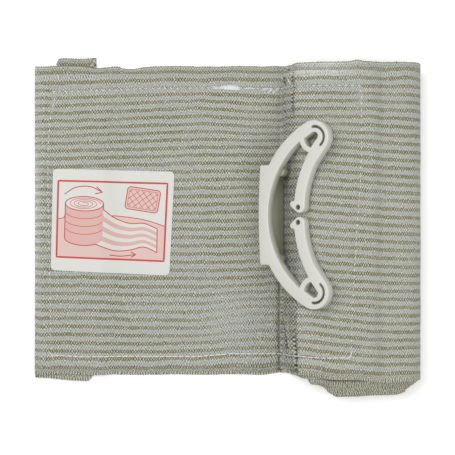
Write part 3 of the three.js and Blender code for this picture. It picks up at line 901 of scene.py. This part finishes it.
# Flat strands cross at many angles, and steep ones lie side by side
chance = np.random.default_rng(FRAYED["seed"])
strands = []
for x_from, x_to, y_middle, spread, count, lean in WORN:
    crossing = abs(lean) < FRAYED["steep"]
    for _ in range(count):
        size = (chance.uniform(0.3, 0.65) if crossing else chance.uniform(0.75, 1)) * (x_to - x_from)
        start = chance.uniform(x_from, x_to - size)
        angle = math.radians(lean * chance.choice([-1, 1]) * chance.uniform(0.3, 1) if crossing else lean)
        middle_x = start + size / 2
        wide = spread * (1 - abs(2 * (middle_x - x_from) / (x_to - x_from) - 1) ** 1.5)
        middle_y = y_middle + wide * chance.uniform(-1, 1)
        bent = chance.uniform(-0.35, 0.35)
        strand = []
        for k in np.linspace(-0.5, 0.5, 9):
            bow = 1 - 4 * k * k
            x = middle_x + size * k * math.cos(angle)
            y = middle_y + size * k * math.sin(angle) + bent * bow
            strand.append(dropped(x, y) + (0, 0, 0.14 + 0.5 * chance.uniform() * bow))
        strands.append(strand)
fibre_look = {"Roughness": 0.8, "Base Color": linear(250, 251, 252), "Sheen Weight": 0.4}
loose_fibre, _ = material_of("loose_fibre", fibre_look)
frayed = object_of("frayed_threads", path_mesh("frayed_threads", strands))
run_maker(frayed, tubes, {"Radius": FRAYED["radius"] * MM, "Thread": loose_fibre})
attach(frayed, "root")


# Loops of the edges
# The yarn turns round in small loops all along both edges of the knit, which makes them look serrated.
# Geometry Nodes sets one ring at each turn.
LOOP = {"pitch": 1.2, "radius": 0.36, "yarn": 0.13, "inside": 0.15}


def rings(tree, given):
    """A ring of yarn at each turn, flat in the cloth."""
    points, facing = points_along(given)
    around, yarn = (
        value_of(tree, "GeometryNodeCurvePrimitiveCircle", {"Resolution": sides, "Radius": given[radius]})
        for sides, radius in ((7, "Radius"), (4, "Yarn"))
    )
    ring = value_of(tree, "GeometryNodeCurveToMesh", {"Curve": around, "Profile Curve": yarn})
    kept = {"Name": "outwards"}
    outwards = value_of(tree, "GeometryNodeInputNamedAttribute", kept, data_type="FLOAT_VECTOR")
    sockets = {"Rotation": facing, "Vector": outwards}
    upright = value_of(tree, "FunctionNodeAlignRotationToVector", sockets, axis="Z", pivot_axis="X")
    return set_on(points, ring, upright, uneven(given, 0.75, 1.15))


edge_yarn, shader = material_of("edge_yarn", {"Roughness": 0.9})
upper = between(parts_of(object_place(shader))[1], -0.01, 0.01)
feed(shader.inputs["Base Color"], mixed(upper, linear(196, 195, 176), linear(136, 132, 88)))
edge_lines = on_wrap(np.arange(len(route)), np.array([-1, 1]) * (WIDTH / 2 - LOOP["inside"]))
loops = object_of("edge_loops", path_mesh("edge_loops", edge_lines.swapaxes(0, 1)))
outwards = np.tile(np.stack([normal_x, 0 * normal_x, normal_z], axis=-1), (2, 1))
loops.data.attributes.new("outwards", "FLOAT_VECTOR", "POINT").data.foreach_set("vector", outwards.ravel())
run_maker(loops, rings, {
    "Pitch": LOOP["pitch"] * MM,
    "Radius": LOOP["radius"] * MM,
    "Yarn": LOOP["yarn"] * MM,
    "Seed": 2,
    "Thread": edge_yarn,
})
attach(loops, "root")


# Label
# A white paper label with rounded corners, stuck on the flat part, a little askew. It bends with the cloth.
LABEL = {"wide": 58.2, "high": 49.8, "corner": 2.1, "thick": 0.2, "over": 0.25, "cells": 60}
LABEL_GRID = {"columns": 44, "rows": 40}

# The corners of the label as it lies: x, y, from the top left one clockwise
LABEL_CORNERS = [(-84.3, 25.2), (-25.7, 23.9), (-28.2, -26.5), (-85.4, -23.8)]


def on_label(u, v):
    """Place on the surface of a spot on the label, u and v in mm from its middle."""
    s, t = u / LABEL["wide"] + 0.5, 0.5 - v / LABEL["high"]
    a, b, c, d = (np.array(corner) for corner in LABEL_CORNERS)
    return (a * (1 - s) + b * s) * (1 - t) + (d * (1 - s) + c * s) * t


def levelled(rise):
    """Each height of a grid as the mean of those beside it."""
    wider = np.pad(rise, 1, mode="edge")
    return (wider[:-2, 1:-1] + wider[2:, 1:-1] + wider[1:-1, :-2] + wider[1:-1, 2:]) / 4


def label_heights():
    """Heights of the label's underside on an even grid: a stiff sheet laid on the cloth's high places."""
    shares = np.arange(LABEL["cells"] + 1) / LABEL["cells"] - 0.5
    spots = [[on_label(s * LABEL["wide"], -t * LABEL["high"]) for s in shares] for t in shares]
    cloth = np.array([[dropped(x, y)[2] for x, y in row] for row in spots])
    rise = cloth
    for _ in range(12):
        rise = np.maximum(levelled(rise), cloth)
    for _ in range(3):
        rise = levelled(rise)
    return np.maximum(rise, cloth) + LABEL["over"]


label_rise = label_heights()


def label_place(u, v, raised):
    """Place of a spot on the label, u and v in mm from its middle, raised over its underside."""
    last = LABEL["cells"] - 1e-6
    s = min(max((u / LABEL["wide"] + 0.5) * LABEL["cells"], 0), last)
    t = min(max((0.5 - v / LABEL["high"]) * LABEL["cells"], 0), last)
    i, k = int(t), int(s)
    z = (1 - t + i, t - i) @ label_rise[i:i + 2, k:k + 2] @ (1 - s + k, s - k)
    return (*on_label(u, v), z + raised)


def label_mesh():
    """The middle face of the paper, drawn in at its rounded corners."""
    corner, wide, high, columns = LABEL["corner"], LABEL["wide"], LABEL["high"], LABEL_GRID["columns"]
    ends = [share * corner for share in (0, 0.04, 0.16, 0.38, 0.68, 1)]
    between_ends = list(np.linspace(corner, high - corner, LABEL_GRID["rows"]))[1:-1]
    rows = ends + between_ends + [high - v for v in reversed(ends)]
    points = []
    for v in rows:
        in_corner = corner - min(v, high - v, corner)
        reach = wide / 2 - corner + math.sqrt(max(corner * corner - in_corner * in_corner, 0))
        places = (reach * (2 * k / columns - 1) for k in range(columns + 1))
        points += [label_place(u, high / 2 - v, LABEL["thick"] / 2) for u in places]
    mesh = bpy.data.meshes.new("label_paper")
    faces = grid_faces(len(rows), columns + 1, turned=True)
    mesh.from_pydata(placed(points).tolist(), [], faces)
    mesh.shade_smooth()
    return mesh


label = object_of("label_paper", label_mesh())
paper, shader = material_of("paper", {"Roughness": 0.55})
place = object_place(shader)
off_white = mixed(mottle(place, 60.0), linear(221, 222, 216), linear(227, 227, 222))
feed(shader.inputs["Base Color"], off_white)
bumped(shader, mottle(place, 1500.0), 0.15, 0.0001)
label.data.materials.append(paper)
thickened(label, LABEL["thick"], 50)
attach(label, "root")
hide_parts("label")


# Print of the label
# A plain drawing in red and pink: a standing roll with its striped end laid out, a quilted pad and two
# arrows, in a red frame. Each shape is a thin layer of ink.
INK = {"red": (212, 56, 46), "pink": (227, 197, 190), "deep pink": (222, 180, 172), "white": (224, 224, 219)}
PAD_DRAWN = {"u": 14.4, "v": 11.0, "wide": 8.0, "high": 5.4, "corner": 1.6, "turn": -7, "margin": 1.3}


def ellipse(u, v, wide, high, start=0, end=360, steps=40):
    """Points of an arc of an ellipse about u, v, from one angle to another."""
    angles = np.radians(start + (end - start) * np.arange(steps + 1) / steps)
    return [(u + wide * math.cos(a), v + high * math.sin(a)) for a in angles]


def spiral(u, v, wide, high, turns):
    """A line that winds inwards from an ellipse about u, v."""
    steps = int(turns * 28)
    shares = [1 - 0.85 * k / steps for k in range(steps + 1)]
    way = ellipse(0, 0, wide, high, 0, 360 * turns, steps)
    return [(u + share * x, v + share * y) for share, (x, y) in zip(shares, way)]


def curve_through(points, steps=10):
    """A smooth line through a few points."""
    out = []
    for i in range(len(points) - 1):
        before, a = np.array(points[max(i - 1, 0)]), np.array(points[i])
        b, after = np.array(points[i + 1]), np.array(points[min(i + 2, len(points) - 1)])
        for k in range(steps):
            t = k / steps
            place = 0.5 * ((2 * a) + (b - before) * t + (2 * before - 5 * a + 4 * b - after) * t * t)
            place = place + 0.5 * (3 * a - before - 3 * b + after) * t ** 3
            out.append(tuple(place))
    return out + [tuple(points[-1])]


def draw_line(ink, points, width):
    """A flat band along a line, in short steps."""
    fine = [np.array(points[0], float)]
    for a, b in zip(points, points[1:]):
        a, b = np.array(a, float), np.array(b, float)
        steps = max(1, math.ceil(math.dist(a, b) / 1.2))
        fine += [a + (b - a) * k / steps for k in range(1, steps + 1)]
    sides = []
    for k, point in enumerate(fine):
        way = fine[min(k + 1, len(fine) - 1)] - fine[max(k - 1, 0)]
        way = way / max(np.linalg.norm(way), 1e-9)
        aside = np.array((-way[1], way[0])) * width / 2
        sides.append([ink.verts.new((*spot, 0)) for spot in (point - aside, point + aside)])
    for (a, b), (c, d) in zip(sides, sides[1:]):
        ink.faces.new((a, c, d, b))


def ink_mesh(name, fills, lines, raised):
    """Thin layers of ink on the label: filled outlines, cut small so that they bend, and lines of a width."""
    ink = bmesh.new()
    for outline in fills:
        corners = [ink.verts.new((u, v, 0)) for u, v in outline]
        edges = [ink.edges.new((corners[k], corners[k - 1])) for k in range(len(corners))]
        bmesh.ops.triangle_fill(ink, edges=edges, use_beauty=True)
    for step in np.arange(-28, 28, 1.4):
        for middle, across in (((step, 0, 0), (1, 0, 0)), ((0, step, 0), (0, 1, 0))):
            everything = ink.verts[:] + ink.edges[:] + ink.faces[:]
            bmesh.ops.bisect_plane(ink, geom=everything, plane_co=middle, plane_no=across, dist=1e-5)
    for points, width in lines:
        draw_line(ink, points, width)
    for face in ink.faces:
        if face.normal.z < 0:
            face.normal_flip()
    for vert in ink.verts:
        vert.co = Vector(placed(label_place(vert.co.x, vert.co.y, raised)))
    mesh = bpy.data.meshes.new(name)
    ink.to_mesh(mesh)
    ink.free()
    mesh.shade_smooth()
    return mesh


left, right, top, bottom = -26.4, 26.0, 19.1, -18.2
frame_line = [(left, top), (right, top), (right, bottom), (left, bottom), (left, top)]
horizon = curve_through([(left, 0.4), (-16, 2.2), (0, 2.8), (15, 1.4), (right, -1.6)])
ground = [*horizon, (right, bottom), (left, bottom)]
u, wide, high, roll_top, roll_bottom = -13.5, 9.2, 3.5, 8.2, -8.6
tail_start = (u + wide, 5.6)
roll_side = ellipse(u, roll_bottom, wide, high, 180, 360) + ellipse(u, roll_top, wide, high, 360, 180)
tail_top = curve_through([tail_start, (1.5, 1.6), (8.5, -0.6), (15.5, -0.4), (22.0, -2.8)])
tail_bottom = curve_through([(u + 6.0, -11.3), (1.2, -14.0), (8.6, -13.6), (15.8, -11.8), (22.4, -14.2)])


def along_tail(share):
    """A line along the loose end, from its upper edge at 0 to its lower one at 1."""
    pairs = zip(tail_top, tail_bottom)
    return [(a * (1 - share) + c * share, b * (1 - share) + d * share) for (a, b), (c, d) in pairs]


def band(upper, lower):
    """The outline of a stripe along the loose end, between two of its lines."""
    return along_tail(upper) + along_tail(lower)[::-1]


def on_drawn_pad(points):
    """Points turned and moved with the drawn pad."""
    cos, sin = math.cos(math.radians(PAD_DRAWN["turn"])), math.sin(math.radians(PAD_DRAWN["turn"]))
    return [(PAD_DRAWN["u"] + x * cos - y * sin, PAD_DRAWN["v"] + x * sin + y * cos) for x, y in points]


def pad_line(inset):
    """The outline of the drawn pad, or a line inside it."""
    r = PAD_DRAWN["corner"] - inset / 2
    x, y = PAD_DRAWN["wide"] - inset - r, PAD_DRAWN["high"] - inset - r
    corners = [(x, y, 0), (-x, y, 90), (-x, -y, 180), (x, -y, 270)]
    arcs = [ellipse(cx, cy, r, r, start, start + 90, 6) for cx, cy, start in corners]
    return on_drawn_pad(sum(arcs, []))


quilting = []
reach_x, reach_y = PAD_DRAWN["wide"] - PAD_DRAWN["margin"], PAD_DRAWN["high"] - PAD_DRAWN["margin"]
for c in np.arange(-9.6, 9.7, 3.2):
    x, x2 = max(-reach_x, c - reach_y), min(reach_x, c + reach_y)
    quilting += [on_drawn_pad([(side * x, x - c), (side * x2, x2 - c)]) for side in (1, -1)]
arrows = [
    curve_through([(-23.2, 12.6), (-18.0, 16.0), (-11.0, 16.6), (-5.4, 14.2)]),
    [(-7.9, 16.6), (-5.0, 14.0), (-8.6, 13.1)],
    curve_through([(-0.5, -16.3), (5.0, -16.6), (11.5, -15.6)]),
    [(9.6, -14.4), (12.2, -15.5), (9.8, -17.0)],
]

# width, lines
DRAWN = [
    (0.88, [frame_line]),
    (0.4, [
        [spot for spot in horizon if spot[0] < u - wide] + [(u - wide, 2.6)],
        [spot for spot in horizon if spot[0] > -1.2],
    ]),
    (0.46, [
        ellipse(u, roll_top, wide, high),
        [(u - wide, roll_top), (u - wide, roll_bottom)],
        [(u + wide, roll_top), tail_start],
        ellipse(u, roll_bottom, wide, high, 180, 312),
        tail_top,
        tail_bottom,
        [tail_top[-1], tail_bottom[-1]],
        [*pad_line(0), pad_line(0)[0]],
        *arrows,
    ]),
    (0.22, [[*pad_line(1), pad_line(1)[0]]]),
    (0.28, [spiral(u, roll_top, wide * 0.86, high * 0.84, 3.4)]),
    (0.24, quilting),
    (0.3, [ellipse(u, v, wide, high, 196, 344, 18) for v in (4.4, 0.6, -3.2)]),
]
red_lines = [(points, width) for width, lines in DRAWN for points in lines]

# ink, filled outlines, lines, height over the paper
LAYERS = [
    ("pink", [ground], [], 0.02),
    ("white", [band(0, 1), ellipse(u, roll_top, wide, high)[:-1]], [], 0.035),
    ("pink", [pad_line(0)], [], 0.035),
    ("deep pink", [roll_side[1:-1], band(0.16, 0.3), band(0.43, 0.57), band(0.7, 0.84)], [], 0.05),
    ("red", [], red_lines, 0.065),
]
for number, (ink, fills, lines, raised) in enumerate(LAYERS):
    mesh = ink_mesh(f"label_print_{number}", fills, lines, LABEL["thick"] + raised)
    printed = object_of(f"label_print_{number}", mesh)
    look = {"Roughness": 0.55, "Base Color": linear(*INK[ink])}
    colour, _ = material_of("ink_" + ink.replace(" ", "_"), look)
    mesh.materials.append(colour)
    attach(printed, "root")


# Pressure bar
# One moulding of off-white plastic: a base plate on edge with two beads below, a bow with a slit loop at each
# end and two hooked arms that almost meet. It stands loose in the step, on the edge of its base, and leans on
# the roll. Its own frame is u to the right from the base's back, v along it and the upper face at depth 0.
BAR = {"x": 14.67, "y": 2.7, "z": 18.27, "tilt": 32}
MOULD = {"plate": 5.0, "base": 16.0, "base thick": 4.8, "base half": 23.5, "corner": 0.8, "rounding": 0.35}
MOULD_OVERLAP = 0.5
BEADS = [(9.0, 20.6), (7.6, -20.9)]
BEAD = {"radius": 2.3, "depth": 9.0, "rounding": 0.8}
BAR_LOOP = (29.1, 35.75)
TIP_HOLE = (21.1, 3.5)

# Where shade is painted on the walls of the loops and the base: u and v, and distances in mm
SHADE = {"loop": (29.5, 36), "inner": 3.2, "outer": 6.2, "slit from": 28, "base": (16, 24), "from": 2.4}


def arc(u, v, radius, start, end, steps):
    """Points of an arc about u, v."""
    return ellipse(u, v, radius, radius, start, end, steps)


def both_halves(half):
    """An outline from its upper half."""
    return half + [(u, -v) for u, v in reversed(half)]


def bar_outline():
    """The bar's outline: from the base's back round one loop and its arm, and the same on the other side."""
    half_long = MOULD["base half"]
    half = [(0, 1.2), (0.05, 6), (0.25, 12), (0.5, 18)] + arc(1.6, half_long - 0.8, 0.8, 180, 90, 6)
    half += arc(4.95, half_long + 1, 1, -90, -30, 6)
    half += arc(47.85, 0, 48.4, 149, 119, 20)
    half += arc(*BAR_LOOP, 8, 117.7, -36, 34)
    half += curve_through([(33.2, 27.9), (32.6, 27.1), (30.4, 24.1), (28.86, 21.42)], 4)[3:-1]
    half += arc(72, 1.3, 47.6, 155, 173, 14)
    half += arc(21.9, 3.7, 2.75, 0, -135, 12)
    half += arc(18.5, 5.0, 1.5, 215, 85, 10)
    half += arc(72, 1.3, 53, 174.3, 148.7, 20)
    half += arc(*BAR_LOOP, 7.25, 248, 197, 12)
    half += arc(47.85, 0, 42.75, 127.6, 178.5, 34)
    return both_halves(half)


def bar_holes():
    """The slit, the window and the tip's hole of each arm, in clockwise order."""
    su, sv, reach, half, start, end = 29.7, 35.9, 4.9, 0.6, 100, -50
    slit = arc(su, sv, reach + half, start, end, 22)
    slit += arc(*arc(su, sv, reach, end, end, 1)[0], half, end - 45, end - 135, 4)
    slit += arc(su, sv, reach - half, end, start, 22)
    slit += arc(*arc(su, sv, reach, start, start, 1)[0], half, start - 225, start - 315, 4)
    window = arc(*BAR_LOOP, 4.8, 184, 256, 10) + arc(29.7, 36.4, 1.9, -30, 125, 14)
    tip = arc(*TIP_HOLE, 1.2, 345, 0, 23)
    holes = [slit, window[::-1], tip]
    return holes + [[(u, -v) for u, v in reversed(hole)] for hole in holes]


def moulded(outlines, start, end, rounding):
    """A solid between two depths, from an outline and its holes, with its edges rounded."""
    shape = bpy.data.curves.new("mould", "CURVE")
    shape.dimensions = "2D"
    shape.fill_mode = "BOTH"
    shape.extrude = (end - start) / 2 - rounding
    shape.bevel_depth = rounding
    shape.bevel_resolution = 2
    shape.offset = -rounding
    for outline in outlines:
        spline = shape.splines.new("POLY")
        spline.points.add(len(outline) - 1)
        for point, (u, v) in zip(spline.points, outline):
            point.co = (u, v, 0, 1)
        spline.use_cyclic_u = True
    piece = object_of("mould", shape)
    mesh = bpy.data.meshes.new_from_object(piece.evaluated_get(bpy.context.evaluated_depsgraph_get()))
    bpy.data.objects.remove(piece)
    bpy.data.curves.remove(shape)
    outwards_faced(mesh, 1e-4)
    mesh.transform(Matrix.Translation((0, 0, -(start + end) / 2)))
    return mesh


def joined(pieces):
    """One solid of several."""
    first, *others = [object_of("moulding", mesh) for mesh in pieces]
    for other in others:
        union = first.modifiers.new("union", "BOOLEAN")
        union.operation = "UNION"
        union.solver = "EXACT"
        union.object = other
    applied(first)
    for other in others:
        bpy.data.objects.remove(other)
    return first


def painted_shade_at(u, v, n):
    """Painted shade on a place of the bar: 0 on its upper face, up to 1 down its sides, and 2 in its slits,
    where it becomes a painted glow.
    """
    plate, v = MOULD["plate"], abs(v)
    from_loop = math.dist((u, v), SHADE["loop"])
    in_slit = SHADE["inner"] < from_loop < SHADE["outer"] and u > SHADE["slit from"]
    in_tip = math.dist((u, v), TIP_HOLE) < 1.4
    if (in_slit or in_tip) and n >= 0.1 - plate:
        return min(max(-4 * n / plate, 0), 2)
    if math.dist((u, v), BEADS[0]) < 1.5 * BEAD["radius"] and n < 0.6 - plate:
        return 1
    if u < SHADE["base"][0] and v < SHADE["base"][1]:
        return min(max(-n - SHADE["from"], 0), 0.75)
    return min(max(-n / plate, 0), 1) * (1 if from_loop < SHADE["outer"] else 0.45)


half_long, thick, corner = MOULD["base half"], MOULD["base thick"], MOULD["corner"]
back = arc(corner + 0.8, half_long - corner, corner, 180, 90, 6)
back += arc(thick - 0.5, half_long - 0.5, 0.5, 90, 0, 4)
below_plate = MOULD["plate"] - MOULD_OVERLAP
bar = joined([
    moulded([bar_outline(), *bar_holes()], 0, MOULD["plate"], MOULD["rounding"]),
    moulded([both_halves(back)], below_plate, MOULD["base"], MOULD["rounding"]),
    *(
        moulded([arc(u, v, BEAD["radius"], 0, 345, 23)], below_plate, BEAD["depth"], BEAD["rounding"])
        for u, v in BEADS
    ),
])
bar.name = "bar_moulding"
cos, sin = math.cos(math.radians(BAR["tilt"])), math.sin(math.radians(BAR["tilt"]))
# Painted shade for each point of the bar, kept on its mesh
painted_shade = bar.data.attributes.new("painted_shade", "FLOAT", "POINT")
for vert in bar.data.vertices:
    u, v, n = vert.co
    painted_shade.data[vert.index].value = painted_shade_at(u, v, n)
    vert.co = placed((BAR["x"] + u * cos - n * sin, BAR["y"] + v, BAR["z"] + u * sin + n * cos))
bar.data.shade_smooth()
bar.data.set_sharp_from_angle(angle=math.radians(40))
plastic, shader = material_of("plastic", {
    "Roughness": 0.42,
    "Subsurface Weight": 0.08,
    "Subsurface Radius": (0.002, 0.002, 0.0016),
})
# The painted value darkens the bar's sides, base and upper bead as painted shade
inside = painted(shader, "painted_shade")
in_shade = mixed(between(inside, 0, 1), linear(224, 223, 215), linear(172, 173, 148))
# In the slits and tip holes the walls turn a painted tan glow, standing in for light through the plastic
feed(shader.inputs["Base Color"], mixed(between(inside, 1, 2), in_shade, linear(208, 199, 170)))
bumped(shader, mottle(object_place(shader), 2500.0), 0.12, 0.0001)
bar.data.materials.clear()
bar.data.materials.append(plastic)
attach(bar, "root")
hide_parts("pressure_bar")


# Floor and light
# A plain pale floor that glows faintly, as a light box does, and soft light from above.
floor_mesh = bpy.data.meshes.new("floor")
floor_mesh.from_pydata([(-3, -3, 0), (3, -3, 0), (3, 3, 0), (-3, 3, 0)], [], [(0, 1, 2, 3)])
floor = object_of("floor", floor_mesh)
floor_paint, _ = material_of("floor", {
    "Roughness": 0.9,
    "Base Color": (0.95, 0.95, 0.94, 1),
    "Emission Color": (1, 1, 1, 1),
    "Emission Strength": 0.2,
})
floor.data.materials.append(floor_paint)

# name, place in mm, size in mm, power in watts
LAMPS = [
    ("key", (-190, 150, 660), 420, 2.6),
    ("fill", (300, -160, 640), 520, 1.4),
]
for name, spot, size, power in LAMPS:
    lamp = bpy.data.lights.new(name, "AREA")
    lamp.shape = "DISK"
    lamp.size = size * MM
    lamp.energy = power
    light = bpy.data.objects.new(name, lamp)
    light.location = placed(spot)
    light.rotation_euler = (-light.location).to_track_quat("-Z", "Y").to_euler()
    scene.collection.objects.link(light)
sky = bpy.data.worlds.new("studio")
sky.use_nodes = True
sky.node_tree.nodes["Background"].inputs["Color"].default_value = (1, 1, 1, 1)
sky.node_tree.nodes["Background"].inputs["Strength"].default_value = 0.42
scene.world = sky
scene.view_settings.view_transform = "Standard"

# Keeps the knit's stitches, which are under three pixels wide, from being smoothed away
scene.cycles.denoising_prefilter = "NONE"
